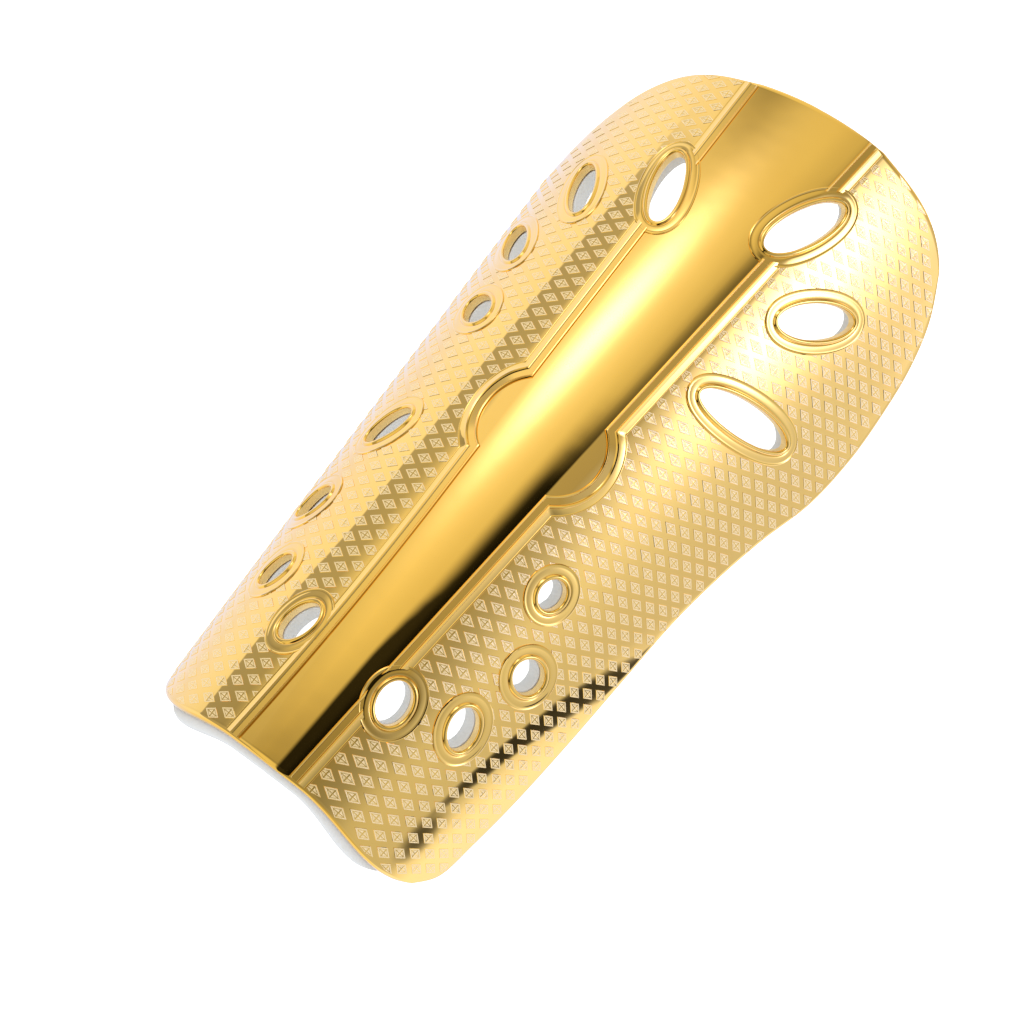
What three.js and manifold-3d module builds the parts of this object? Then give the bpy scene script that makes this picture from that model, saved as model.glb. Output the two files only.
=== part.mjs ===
// A slip-in football shin guard: a gold-plated moulded shell and the pale foam lining behind it.
// Sizes are millimetres. +Y runs from the ankle end to the knee end, +Z away from the shin, and +X to
// the right as the guard is seen from the front. The guard lies front up, resting on its side edges.
import * as THREE from 'three';
import { mergeVertices } from 'three/addons/utils/BufferGeometryUtils.js';
import Module from 'manifold-3d';

const SHELL_THICKNESS = 1.6;
const LINING_GAP = 0.35;
const LINING_THICKNESS = 3.5;
const LINING_SIDE_INSET = 5;
// Where the lining starts and stops along the row table: it shows a little past the shell at the ankle.
const LINING_ANKLE_PLACE = -0.24;
const LINING_KNEE_INSET = 0.06;

// The two rails are strips of the surface between the central band and the flanks.
const RAIL_WIDTH = 4;
const RAIL_SLOPE = 25;
const RAIL_STATIONS = [
  { y: -93, x: 8.3, z: -3.86 },
  { y: 0, x: 12.95, z: -0.7 },
  { y: 92, x: 17.3, z: -0.93 },
];

// Slope in degrees of the band where it meets a rail: it carries on the arch, flatter at the knee end.
const BAND_SLOPE = { ankle: 24, knee: 18, flattensFrom: 40, flattensTo: 92 };

// Slope in degrees of a flank at its rail, halfway out and at full width, at each end of the guard.
const FLANK_SPAN = 50;
const FLANK_ENDS = { ankle: -93, knee: 92 };
const FLANK_SLOPES = {
  right: { ankle: [24.2, 54.1, 68.5], knee: [31.2, 44.8, 39.2] },
  left: { ankle: [22.0, 52.6, 90.5], knee: [29.0, 44.9, 70.0] },
};

// Rows across the guard from the ankle end to the knee end: y where the row crosses each rail, then how
// far out it reaches on each flank, the y it ends at, and how far it bellies toward the ankle on the way.
const ROW_COLUMNS = ['railLeft', 'railRight', 'outLeft', 'endLeft', 'bellyLeft', 'outRight', 'endRight', 'bellyRight'];
const ROWS = [
  [-91.9, -91.3, 36.0, -91.0, 2.2, 36.0, -90.7, 2.2],
  [-86.5, -86.0, 43.1, -85.7, 0.5, 42.6, -85.4, 0.5],
  [-77.0, -77.0, 45.0, -76.5, 0.0, 44.1, -76.5, 0.0],
  [-64.0, -64.0, 45.85, -64.0, 0.0, 45.0, -64.0, 0.0],
  [-48.0, -48.0, 45.6, -48.0, 0.0, 44.8, -48.0, 0.0],
  [-30.0, -30.0, 44.6, -30.0, 0.0, 43.9, -30.0, 0.0],
  [-14.0, -14.0, 43.9, -14.0, 0.0, 43.2, -14.0, 0.0],
  [0.0, 0.0, 44.6, 0.0, 0.0, 44.2, 0.0, 0.0],
  [14.0, 14.0, 46.6, 14.0, 0.0, 46.4, 14.0, 0.0],
  [28.0, 28.0, 48.6, 27.5, 0.0, 49.6, 28.0, 0.0],
  [41.5, 42.0, 49.1, 40.0, 0.0, 49.6, 41.7, 0.0],
  [53.5, 55.0, 47.6, 51.8, 0.0, 47.6, 54.2, 0.0],
  [65.5, 68.0, 42.6, 60.0, 0.0, 44.3, 66.8, 0.0],
  [77.0, 80.5, 36.5, 68.5, 0.0, 39.2, 77.3, -0.5],
  [86.9, 90.9, 30.0, 75.6, 0.0, 31.3, 86.0, -1.3],
];
const LAST_ROW = ROWS.length - 1;

// Vent holes: out is measured along the flank from the rail's outer line, long and short are half axes,
// and lean turns the long axis from +Y outward.
const HOLES = [
  { side: 'right', out: -1.8, y: 64.8, long: 10.5, short: 3.8, lean: 19 },
  { side: 'right', out: 15.2, y: 53.0, long: 10.4, short: 4.0, lean: 45 },
  { side: 'right', out: 18.4, y: 26.2, long: 13.0, short: 3.7, lean: 72 },
  { side: 'right', out: 11.5, y: -30.1, long: 3.1, short: 2.9, lean: 0 },
  { side: 'right', out: 20.7, y: -45.0, long: 4.1, short: 3.4, lean: 90 },
  { side: 'right', out: 17.0, y: -61.7, long: 4.4, short: 3.4, lean: -36 },
  { side: 'right', out: 1.7, y: -67.2, long: 4.6, short: 3.5, lean: -16 },
  { side: 'left', out: -1.1, y: 54.1, long: 9.0, short: 3.7, lean: 22 },
  { side: 'left', out: 20.4, y: 48.4, long: 8.3, short: 3.4, lean: 35 },
  { side: 'left', out: 29.5, y: 31.3, long: 7.4, short: 3.5, lean: 51 },
  { side: 'left', out: 23.4, y: 11.9, long: 5.1, short: 3.6, lean: 68 },
  { side: 'left', out: 22.5, y: -21.0, long: 6.4, short: 3.4, lean: -44 },
  { side: 'left', out: 28.9, y: -42.8, long: 5.6, short: 3.4, lean: -52 },
  { side: 'left', out: 22.3, y: -59.7, long: 4.7, short: 3.1, lean: -37 },
  { side: 'left', out: 5.3, y: -66.1, long: 5.0, short: 3.3, lean: -25 },
];
const HOLE_STEPS = 18;
const CUT_ABOVE = 6;
const CUT_BELOW = 16;

// Profiles of the cast relief: across is measured from the hole's edge or from the rail's outer line,
// height above the sheet. The first and last points are sunk so the relief grows out of the sheet.
const RIM_PROFILE = [
  { across: -0.7, height: -0.8 },
  { across: -0.7, height: 0.6 },
  { across: 0.9, height: 0.75 },
  { across: 2.9, height: 0.55 },
  { across: 3.2, height: -0.8 },
];
const RAIL_PROFILE = [
  { across: 0, height: -0.8 },
  { across: 0.2, height: 0.45 },
  { across: 2.0, height: 0.75 },
  { across: 3.8, height: 0.6 },
  { across: 4.1, height: -0.8 },
];
const RAIL_STEP = 7;
const RAIL_RUNS = {
  right: [[-91.4, -70.5], [-63.5, 55.5], [74.0, 90.8]],
  left: [[-91.7, -70.0], [-62.5, 45.5], [62.5, 87.0]],
};
const RAIL_END_GAP = 0.15;
const MEDALLION = { y: -7.4, radius: 15, reach: 5.4, steps: 9 };

const FLANK_FRACTIONS = [0.18, 0.36, 0.52, 0.68, 0.84, 1];
const BAND_STEPS = 3;
const SHELL_ROWS = 19;
const LINING_FRACTIONS = [0.3, 0.65, 1];
const LINING_BAND_STEPS = 2;
const LINING_ROWS = 12;

const SIGN = { left: -1, right: 1 };
const GAUSS = [
  { at: 0.06943, weight: 0.17393 },
  { at: 0.33001, weight: 0.32607 },
  { at: 0.66999, weight: 0.32607 },
  { at: 0.93057, weight: 0.17393 },
];

const radians = THREE.MathUtils.degToRad;

// The parabola through three points, used for the gentle changes along the guard.
function parabola(at, places, values) {
  const [a, b, c] = places;
  const first = values[0] * (at - b) * (at - c) / ((a - b) * (a - c));
  const second = values[1] * (at - a) * (at - c) / ((b - a) * (b - c));
  const third = values[2] * (at - a) * (at - b) / ((c - a) * (c - b));
  return first + second + third;
}

function railAt(y) {
  const places = RAIL_STATIONS.map((station) => station.y);
  const x = parabola(y, places, RAIL_STATIONS.map((station) => station.x));
  const z = parabola(y, places, RAIL_STATIONS.map((station) => station.z));
  return { x, z };
}

function bandSlopeAt(y) {
  const share = THREE.MathUtils.smoothstep(y, BAND_SLOPE.flattensFrom, BAND_SLOPE.flattensTo);
  return THREE.MathUtils.lerp(BAND_SLOPE.ankle, BAND_SLOPE.knee, share);
}

function flankSlope(side, out, y) {
  const share = (y - FLANK_ENDS.ankle) / (FLANK_ENDS.knee - FLANK_ENDS.ankle);
  const { ankle, knee } = FLANK_SLOPES[side];
  const slopes = ankle.map((angle, place) => THREE.MathUtils.lerp(angle, knee[place], share));
  return radians(parabola(out, [0, FLANK_SPAN / 2, FLANK_SPAN], slopes));
}

// A point of the sheet's front face. Out is measured from the rail's outer line: positive over the
// flank, down to minus the rail's width over the rail, and beyond that across the band.
function frontPoint(side, out, y) {
  const rail = railAt(y);
  const slope = radians(RAIL_SLOPE);
  if (out >= 0) {
    let x = rail.x;
    let z = rail.z;
    for (const { at, weight } of GAUSS) {
      const angle = flankSlope(side, out * at, y);
      x += out * weight * Math.cos(angle);
      z -= out * weight * Math.sin(angle);
    }
    return new THREE.Vector3(SIGN[side] * x, y, z);
  }
  if (out >= -RAIL_WIDTH) {
    return new THREE.Vector3(SIGN[side] * (rail.x + out * Math.cos(slope)), y, rail.z - out * Math.sin(slope));
  }
  const half = rail.x - RAIL_WIDTH * Math.cos(slope);
  const bandSlope = radians(bandSlopeAt(y));
  const radius = half / Math.sin(bandSlope);
  const x = half + out + RAIL_WIDTH;
  const rise = Math.sqrt(radius * radius - x * x) - radius * Math.cos(bandSlope);
  return new THREE.Vector3(SIGN[side] * x, y, rail.z + RAIL_WIDTH * Math.sin(slope) + rise);
}

function frontNormal(side, out, y) {
  const step = 0.1;
  const across = frontPoint(side, out + step, y).sub(frontPoint(side, out - step, y));
  const along = frontPoint(side, out, y + step).sub(frontPoint(side, out, y - step));
  return across.cross(along).multiplyScalar(SIGN[side]).normalize();
}

// A point above or, with a negative height, below the front face.
function raised(side, out, y, height) {
  const normal = frontNormal(side, out, y);
  return frontPoint(side, out, y).addScaledVector(normal, height);
}

// One row of the table, smoothed between its neighbours, as an object with named columns.
function rowAt(place) {
  const start = THREE.MathUtils.clamp(Math.floor(place), 0, LAST_ROW - 1);
  const t = place - start;
  const row = {};
  ROW_COLUMNS.forEach((name, column) => {
    const p1 = ROWS[start][column];
    const p2 = ROWS[start + 1][column];
    const p0 = start > 0 ? ROWS[start - 1][column] : 2 * p1 - p2;
    const p3 = start + 2 <= LAST_ROW ? ROWS[start + 2][column] : 2 * p2 - p1;
    const bend = 2 * p0 - 5 * p1 + 4 * p2 - p3;
    const turn = 3 * (p1 - p2) + p3 - p0;
    row[name] = p1 + 0.5 * t * (p2 - p0 + t * (bend + t * turn));
  });
  return row;
}

// The places across one row, from the left edge to the right edge, as side, out and y.
function rowPlaces(place, fractions, bandSteps, sideInset) {
  const row = rowAt(place);
  const flank = (side, reach, railY, endY, belly) => fractions.map((f) => ({
    side,
    out: f * (reach - sideInset),
    y: railY + (endY - railY) * f ** 3 - belly * 6.75 * f * f * (1 - f),
  }));
  const left = flank('left', row.outLeft, row.railLeft, row.endLeft, row.bellyLeft);
  const right = flank('right', row.outRight, row.railRight, row.endRight, row.bellyRight);
  const middle = (row.railLeft + row.railRight) / 2;
  const tilt = (row.railRight - row.railLeft) / 2;
  const railX = railAt(middle).x;
  const half = railX - RAIL_WIDTH * Math.cos(radians(RAIL_SLOPE));
  const inner = (side) => {
    const outs = [0, -RAIL_WIDTH];
    for (let step = 1; step < bandSteps; step += 1) outs.push(-RAIL_WIDTH - half * step / bandSteps);
    return outs.map((out) => ({ side, out, y: middle + SIGN[side] * tilt * Math.max(0, 1 + out / railX) }));
  };
  const centre = { side: 'right', out: -RAIL_WIDTH - half + 1e-4, y: middle };
  return [...left.reverse(), ...inner('left'), centre, ...inner('right').reverse(), ...right];
}

function geometryFrom(vertices, triangles) {
  const geometry = new THREE.BufferGeometry();
  const positions = vertices.flatMap((vertex) => vertex.toArray());
  geometry.setAttribute('position', new THREE.Float32BufferAttribute(positions, 3));
  geometry.setIndex(triangles);
  return geometry;
}

// A closed sheet between two depths under the front face.
function sheet({ top, bottom, fractions, bandSteps, rows, sideInset, firstPlace, lastPlace }) {
  const vertices = [];
  const grid = [];
  for (let r = 0; r <= rows; r += 1) {
    const place = THREE.MathUtils.lerp(firstPlace, lastPlace, r / rows);
    const places = rowPlaces(place, fractions, bandSteps, sideInset);
    grid.push(places.map(({ side, out, y }) => {
      vertices.push(raised(side, out, y, -top));
      vertices.push(raised(side, out, y, -bottom));
      return vertices.length - 2;
    }));
  }
  const triangles = [];
  const quad = (a, b, c, d) => triangles.push(a, b, c, a, c, d);
  const columns = grid[0].length - 1;
  for (let r = 0; r < rows; r += 1) {
    for (let c = 0; c < columns; c += 1) {
      const [a, b, d, e] = [grid[r][c], grid[r][c + 1], grid[r + 1][c + 1], grid[r + 1][c]];
      quad(a, b, d, e);
      quad(a + 1, e + 1, d + 1, b + 1);
    }
    quad(grid[r][0], grid[r + 1][0], grid[r + 1][0] + 1, grid[r][0] + 1);
    quad(grid[r][columns], grid[r][columns] + 1, grid[r + 1][columns] + 1, grid[r + 1][columns]);
  }
  for (let c = 0; c < columns; c += 1) {
    quad(grid[0][c], grid[0][c] + 1, grid[0][c + 1] + 1, grid[0][c + 1]);
    quad(grid[rows][c], grid[rows][c + 1], grid[rows][c + 1] + 1, grid[rows][c] + 1);
  }
  return geometryFrom(vertices, triangles);
}

// Cast relief: a profile carried along a path on the front face. Each path place has a side, out and y,
// and the direction in which the profile's across is measured there.
function relief(path, profile, closed) {
  const vertices = [];
  for (const place of path) {
    for (const { across, height } of profile) {
      const out = place.out + across * place.acrossOut;
      vertices.push(raised(place.side, out, place.y + across * place.acrossY, height));
    }
  }
  const triangles = [];
  const count = profile.length;
  const spans = closed ? path.length : path.length - 1;
  for (let step = 0; step < spans; step += 1) {
    const here = step * count;
    const next = ((step + 1) % path.length) * count;
    for (let k = 0; k < count; k += 1) {
      const after = (k + 1) % count;
      triangles.push(here + k, here + after, next + after, here + k, next + after, next + k);
    }
  }
  if (!closed) {
    const last = (path.length - 1) * count;
    for (let k = 1; k < count - 1; k += 1) {
      triangles.push(0, k + 1, k);
      triangles.push(last, last + k, last + k + 1);
    }
  }
  return geometryFrom(vertices, triangles);
}

function flipped(geometry) {
  const index = geometry.index.array;
  for (let k = 0; k < index.length; k += 3) [index[k], index[k + 1]] = [index[k + 1], index[k]];
  return geometry;
}

// The oval line round a hole, with the direction straight out from it.
function holeLine(hole) {
  const lean = radians(hole.lean);
  const line = [];
  for (let step = 0; step < HOLE_STEPS; step += 1) {
    const turn = 2 * Math.PI * step / HOLE_STEPS;
    const p = hole.long * Math.cos(turn);
    const q = hole.short * Math.sin(turn);
    const away = new THREE.Vector2(Math.cos(turn) / hole.long, Math.sin(turn) / hole.short).normalize();
    line.push({
      side: hole.side,
      out: hole.out + p * Math.sin(lean) + q * Math.cos(lean),
      y: hole.y + p * Math.cos(lean) - q * Math.sin(lean),
      acrossOut: away.x * Math.sin(lean) + away.y * Math.cos(lean),
      acrossY: away.x * Math.cos(lean) - away.y * Math.sin(lean),
    });
  }
  return line;
}

function rim(hole) {
  const ring = relief(holeLine(hole), RIM_PROFILE, true);
  return hole.side === 'left' ? ring : flipped(ring);
}

// The straight oval plug that cuts a hole square to the sheet at the hole's middle.
function plug(hole) {
  const middle = frontPoint(hole.side, hole.out, hole.y);
  const normal = frontNormal(hole.side, hole.out, hole.y);
  const along = new THREE.Vector3(0, 1, 0).addScaledVector(normal, -normal.y).normalize();
  const across = along.clone().cross(normal).multiplyScalar(SIGN[hole.side]);
  const vertices = [];
  for (const { out, y } of holeLine(hole)) {
    const place = middle.clone().addScaledVector(across, out - hole.out).addScaledVector(along, y - hole.y);
    vertices.push(place.clone().addScaledVector(normal, CUT_ABOVE));
    vertices.push(place.clone().addScaledVector(normal, -CUT_BELOW));
  }
  const triangles = [];
  for (let step = 0; step < HOLE_STEPS; step += 1) {
    const here = 2 * step;
    const next = 2 * ((step + 1) % HOLE_STEPS);
    triangles.push(here, here + 1, next + 1, here, next + 1, next);
    if (step > 0 && step < HOLE_STEPS - 1) {
      triangles.push(0, here, next);
      triangles.push(1, next + 1, here + 1);
    }
  }
  const geometry = geometryFrom(vertices, triangles);
  return hole.side === 'right' ? flipped(geometry) : geometry;
}

// Where a rail's outer line runs at a given y: on the rail, or out on the medallion's arc.
function railOut(y) {
  const rise = MEDALLION.radius ** 2 - (y - MEDALLION.y) ** 2;
  const arc = Math.sqrt(Math.max(0, rise)) - MEDALLION.radius + MEDALLION.reach;
  return Math.max(0, arc);
}

// One run of a rail between two values of y, with mitred corners where it meets the medallion.
function railRun(side, from, to) {
  const half = Math.sqrt(MEDALLION.radius ** 2 - (MEDALLION.radius - MEDALLION.reach) ** 2);
  const stops = [from];
  const span = (low, high, count) => {
    for (let step = 1; step <= count; step += 1) stops.push(THREE.MathUtils.lerp(low, high, step / count));
  };
  const low = MEDALLION.y - half;
  const high = MEDALLION.y + half;
  if (from < low && to > high) {
    span(from, low, Math.ceil((low - from) / RAIL_STEP));
    span(low, high, MEDALLION.steps);
    span(high, to, Math.ceil((to - high) / RAIL_STEP));
  } else {
    span(from, to, Math.ceil((to - from) / RAIL_STEP));
  }
  const line = stops.map((y) => new THREE.Vector2(railOut(y), y));
  const inward = (a, b) => new THREE.Vector2(a.y - b.y, b.x - a.x).normalize();
  const path = line.map((place, k) => {
    const before = inward(line[Math.max(k - 1, 0)], line[Math.max(k, 1)]);
    const after = inward(line[Math.min(k, line.length - 2)], line[Math.min(k + 1, line.length - 1)]);
    const mitre = before.clone().add(after).normalize();
    mitre.multiplyScalar(1 / Math.max(0.5, mitre.dot(after)));
    return { side, out: place.x, y: place.y, acrossOut: mitre.x, acrossY: mitre.y };
  });
  const run = relief(path, RAIL_PROFILE, false);
  return side === 'left' ? run : flipped(run);
}

const wasm = await Module();
wasm.setup();

function solidFrom(geometry) {
  const merged = mergeVertices(geometry, 1e-4);
  const vertProperties = new Float32Array(merged.attributes.position.array);
  const triVerts = new Uint32Array(merged.index.array);
  return new wasm.Manifold(new wasm.Mesh({ numProp: 3, vertProperties, triVerts }));
}

function meshFrom(solid, name, material) {
  const { numProp, vertProperties, triVerts } = solid.getMesh();
  const geometry = new THREE.BufferGeometry();
  const positions = [];
  for (let k = 0; k < vertProperties.length; k += numProp) {
    positions.push(vertProperties[k], vertProperties[k + 1], vertProperties[k + 2]);
  }
  geometry.setAttribute('position', new THREE.Float32BufferAttribute(positions, 3));
  geometry.setIndex(Array.from(triVerts));
  const mesh = new THREE.Mesh(geometry, material);
  mesh.name = name;
  return mesh;
}

const plugs = HOLES.map((hole) => solidFrom(plug(hole)));

let shell = solidFrom(sheet({
  top: 0,
  bottom: SHELL_THICKNESS,
  fractions: FLANK_FRACTIONS,
  bandSteps: BAND_STEPS,
  rows: SHELL_ROWS,
  sideInset: 0,
  firstPlace: 0,
  lastPlace: LAST_ROW,
}));
for (const side of ['left', 'right']) {
  for (const [from, to] of RAIL_RUNS[side]) {
    const low = from + RAIL_END_GAP;
    const high = to - RAIL_END_GAP;
    shell = shell.add(solidFrom(railRun(side, low, high)));
  }
}
for (const hole of HOLES) shell = shell.add(solidFrom(rim(hole)));
for (const cut of plugs) shell = shell.subtract(cut);

let lining = solidFrom(sheet({
  top: SHELL_THICKNESS + LINING_GAP,
  bottom: SHELL_THICKNESS + LINING_GAP + LINING_THICKNESS,
  fractions: LINING_FRACTIONS,
  bandSteps: LINING_BAND_STEPS,
  rows: LINING_ROWS,
  sideInset: LINING_SIDE_INSET,
  firstPlace: LINING_ANKLE_PLACE,
  lastPlace: LAST_ROW - LINING_KNEE_INSET,
}));
for (const cut of plugs) lining = lining.subtract(cut);

const gold = new THREE.MeshStandardMaterial({ color: 0xe0b545, roughness: 0.18, metalness: 1 });
const foam = new THREE.MeshStandardMaterial({ color: 0xe9e4e0, roughness: 0.95, metalness: 0 });
const guard = new THREE.Group();
guard.name = 'shin_guard';
guard.add(meshFrom(shell, 'shell', gold));
guard.add(meshFrom(lining, 'foam_lining', foam));

// Set the guard down with the middle of its box over the origin and its lowest edge at z = 0.
const box = new THREE.Box3().setFromObject(guard);
const middle = box.getCenter(new THREE.Vector3());
for (const piece of guard.children) piece.geometry.translate(-middle.x, -middle.y, -box.min.z);

export default guard;
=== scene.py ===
# %% [markdown]
# # A gold football shin guard
#
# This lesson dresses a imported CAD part. The part is a slip-in football shin guard: a thin moulded shell
# plated in bright gold, with a sheet of pale foam behind it. The CAD model gives the true size and form,
# and here each piece gets the fine shape and the finish that the eye sees.
# We work in millimetres, and turn them into metres only when a mesh is made.

import bpy
import numpy as np
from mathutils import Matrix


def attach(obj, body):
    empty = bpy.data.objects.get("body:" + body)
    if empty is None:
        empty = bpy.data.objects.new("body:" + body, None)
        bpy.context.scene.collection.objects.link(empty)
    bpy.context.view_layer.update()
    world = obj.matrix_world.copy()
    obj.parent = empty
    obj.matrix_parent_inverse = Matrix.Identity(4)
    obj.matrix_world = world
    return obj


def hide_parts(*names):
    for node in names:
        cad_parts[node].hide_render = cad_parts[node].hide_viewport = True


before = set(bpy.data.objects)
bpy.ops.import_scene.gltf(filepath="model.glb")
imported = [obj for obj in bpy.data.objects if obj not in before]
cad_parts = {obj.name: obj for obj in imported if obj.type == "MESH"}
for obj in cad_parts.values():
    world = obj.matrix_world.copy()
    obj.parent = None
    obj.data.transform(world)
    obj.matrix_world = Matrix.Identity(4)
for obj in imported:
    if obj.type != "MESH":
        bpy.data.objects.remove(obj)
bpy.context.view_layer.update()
MM = 0.001
# The source stands the guard's box over the origin, which moves it by this much.
FRAME_SHIFT = np.array([-1.543, 2.202, 36.333])

# %% [markdown]
# ## The arched front
#
# The guard is a trough that wraps the shin. Down its middle runs a gently arched band, on each side of the
# band a straight rail, and outside the rails two flanks that curve down and back. It could be modelled by
# eye, but a formula keeps every piece on one surface. A point of the front is named by its side, by how far
# out it lies from the rail's outer line, and by its place along the shin. That is how one would mark it with
# a tape laid on the real thing, so patterns keep their true size.

# %% The front surface as a function
RAIL_WIDTH = 4.0
RAIL_SLOPE = np.radians(22.0)
# The rails' outer lines at three places along the shin: half the distance between them, and their height.
STATIONS = (-93.0, 0.0, 92.0)
RAIL_X = (8.3, 12.95, 17.3)
RAIL_Z = (-3.86, -0.7, -0.93)
# The band's slope in degrees where it meets a rail. It changes over this stretch of y.
BAND_SLOPE_ANKLE = 20.0
BAND_SLOPE_KNEE = 17.0
BAND_FLATTENS = (40.0, 92.0)
FLANK_SPAN = 50.0
# Slope in degrees at the rail, halfway out and at full width, first at the ankle and then at the knee. The
# first pair of rows is the left flank's.
FLANK_SLOPES = np.radians([
    [[22.0, 52.6, 90.5], [29.0, 44.9, 70.0]],
    [[24.2, 54.1, 68.5], [31.2, 44.8, 39.2]],
])
# Places and weights that turn a sum of six values into an integral from 0 to 1.
GAUSS_AT, GAUSS_WEIGHT = np.polynomial.legendre.leggauss(6)
GAUSS_AT = (GAUSS_AT + 1) / 2
GAUSS_WEIGHT = GAUSS_WEIGHT / 2
NORMAL_STEP = 0.05
LEFT, RIGHT = -1, 1


def parabola(at, places, values):
    """The parabola through three places and their values."""
    a, b, c = places
    first = values[0] * (at - b) * (at - c) / ((a - b) * (a - c))
    second = values[1] * (at - a) * (at - c) / ((b - a) * (b - c))
    third = values[2] * (at - a) * (at - b) / ((c - a) * (c - b))
    return first + second + third


def smooth_step(value):
    """0 below 0 and 1 above 1, with level ends between."""
    held = np.clip(value, 0, 1)
    return held * held * (3 - 2 * held)


def front(side, out, y):
    """Points of the front. On a flank the slope is a parabola of the distance out, and x and z are the
    sums of its cosine and sine. The rail is flat, and the band is an arc of a circle across."""
    side, out, y = np.broadcast_arrays(side, np.asarray(out, float), np.asarray(y, float))
    rail_x = parabola(y, STATIONS, RAIL_X)
    rail_z = parabola(y, STATIONS, RAIL_Z)
    share = ((y - STATIONS[0]) / (STATIONS[2] - STATIONS[0]))[..., None]
    ends = FLANK_SLOPES[(side > 0).astype(int)]
    slopes = ends[..., 0, :] * (1 - share) + ends[..., 1, :] * share
    reach = np.maximum(out, 0)
    steps = reach[..., None] * GAUSS_AT
    angle = parabola(steps, (0, FLANK_SPAN / 2, FLANK_SPAN), np.moveaxis(slopes, -1, 0)[..., None])
    flank_x = rail_x + reach * (np.cos(angle) @ GAUSS_WEIGHT)
    flank_z = rail_z - reach * (np.sin(angle) @ GAUSS_WEIGHT)
    half = rail_x - RAIL_WIDTH * np.cos(RAIL_SLOPE)
    inner_x = np.where(out < -RAIL_WIDTH, half + out + RAIL_WIDTH, rail_x + out * np.cos(RAIL_SLOPE))
    plane = rail_z + (rail_x - inner_x) * np.tan(RAIL_SLOPE)
    flatter = smooth_step((y - BAND_FLATTENS[0]) / (BAND_FLATTENS[1] - BAND_FLATTENS[0]))
    slope = np.radians(BAND_SLOPE_ANKLE + (BAND_SLOPE_KNEE - BAND_SLOPE_ANKLE) * flatter)
    radius = half / np.sin(slope)
    rise = np.sqrt(np.maximum(radius**2 - inner_x**2, 0)) - radius * np.cos(slope)
    arc = rail_z + RAIL_WIDTH * np.sin(RAIL_SLOPE) + rise
    inner_z = np.where(inner_x > half, plane, arc)
    x = np.where(out < 0, inner_x, flank_x)
    z = np.where(out < 0, inner_z, flank_z)
    return np.stack([side * x, y, z], -1)


def raised(side, out, y, height):
    """Points at a height above the front, along its normal. The normal is the cross product of two short
    steps on the surface, one across and one along."""
    across = front(side, out + NORMAL_STEP, y) - front(side, out - NORMAL_STEP, y)
    along = front(side, out, y + NORMAL_STEP) - front(side, out, y - NORMAL_STEP)
    normal = np.cross(across, along) * np.asarray(side)[..., None]
    normal /= np.linalg.norm(normal, axis=-1, keepdims=True)
    return front(side, out, y) + normal * np.asarray(height)[..., None]


print("front at the middle of each rail, mm:", front(np.array([LEFT, RIGHT]), 0.0, 0.0).round(2).tolist())

# %% [markdown]
# ## The outline
#
# The shell is narrow over the ankle, draws in at the waist and spreads over the calf to a round knee end.
# One could cut that outline from a wide sheet, but rows that end on it give a clean edge with no slivers.
# A short table holds them: each row crosses the guard, and says where it meets the rails, how far out it
# reaches on each side, and at what height it ends. A smooth curve is drawn through the rows.

# %% Rows across the guard
# Columns: rail left, rail right, then for each side how far out, the y at its end, and the belly.
ROWS = np.array([
    [-91.9, -91.3, 36.0, -91.0, 2.2, 36.0, -90.7, 2.2],
    [-86.5, -86.0, 43.1, -85.7, 0.5, 42.6, -85.4, 0.5],
    [-77.0, -77.0, 45.0, -76.5, 0.0, 44.1, -76.5, 0.0],
    [-64.0, -64.0, 45.85, -64.0, 0.0, 45.0, -64.0, 0.0],
    [-48.0, -48.0, 45.6, -48.0, 0.0, 44.8, -48.0, 0.0],
    [-30.0, -30.0, 44.6, -30.0, 0.0, 43.9, -30.0, 0.0],
    [-14.0, -14.0, 43.9, -14.0, 0.0, 43.2, -14.0, 0.0],
    [0.0, 0.0, 44.6, 0.0, 0.0, 44.2, 0.0, 0.0],
    [14.0, 14.0, 46.6, 14.0, 0.0, 46.4, 14.0, 0.0],
    [28.0, 28.0, 48.6, 27.5, 0.0, 49.6, 28.0, 0.0],
    [41.5, 42.0, 49.1, 40.0, 0.0, 49.6, 41.7, 0.0],
    [53.5, 55.0, 47.6, 51.8, 0.0, 47.6, 54.2, 0.0],
    [65.5, 68.0, 42.6, 60.0, 0.0, 44.3, 66.8, 0.0],
    [77.0, 80.5, 36.5, 68.5, 0.0, 39.2, 77.3, -0.5],
    [86.9, 90.9, 30.0, 75.6, 0.0, 31.3, 86.0, -1.3],
])
RAIL_COLUMN = {LEFT: 0, RIGHT: 1}
EDGE_COLUMNS = {LEFT: (2, 3, 4), RIGHT: (5, 6, 7)}
LAST_ROW = len(ROWS) - 1
WAIST_ROW = 6
# With this factor the belly's curve, the share squared times what is left of it, is 1 at its highest.
BELLY_SCALE = 6.75


def rows_at(places):
    """Rows of the table between its own, by a cubic through four neighbours. Beyond an end the table is
    carried on in a straight line."""
    table = np.vstack([2 * ROWS[0] - ROWS[1], ROWS, 2 * ROWS[-1] - ROWS[-2]])
    start = np.clip(np.floor(places).astype(int), 0, LAST_ROW - 1)
    t = (places - start)[:, None]
    p0, p1, p2, p3 = (table[start + step] for step in range(4))
    bend = 2 * p0 - 5 * p1 + 4 * p2 - p3
    turn = 3 * (p1 - p2) + p3 - p0
    return p1 + 0.5 * t * (p2 - p0 + t * (bend + t * turn))


def flank_places(rows, side, shares, inset=0.0):
    """Out and y over one flank. Out is a share of the row's reach. The y goes from the rail to the row's
    end with the cube of the share, less a belly that is nothing at both."""
    rail = rows[:, [RAIL_COLUMN[side]]]
    reach, end, belly = (rows[:, [column]] for column in EDGE_COLUMNS[side])
    out = shares * (reach - inset)
    y = rail + (end - rail) * shares**3 - belly * BELLY_SCALE * shares**2 * (1 - shares)
    return out, y


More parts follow.
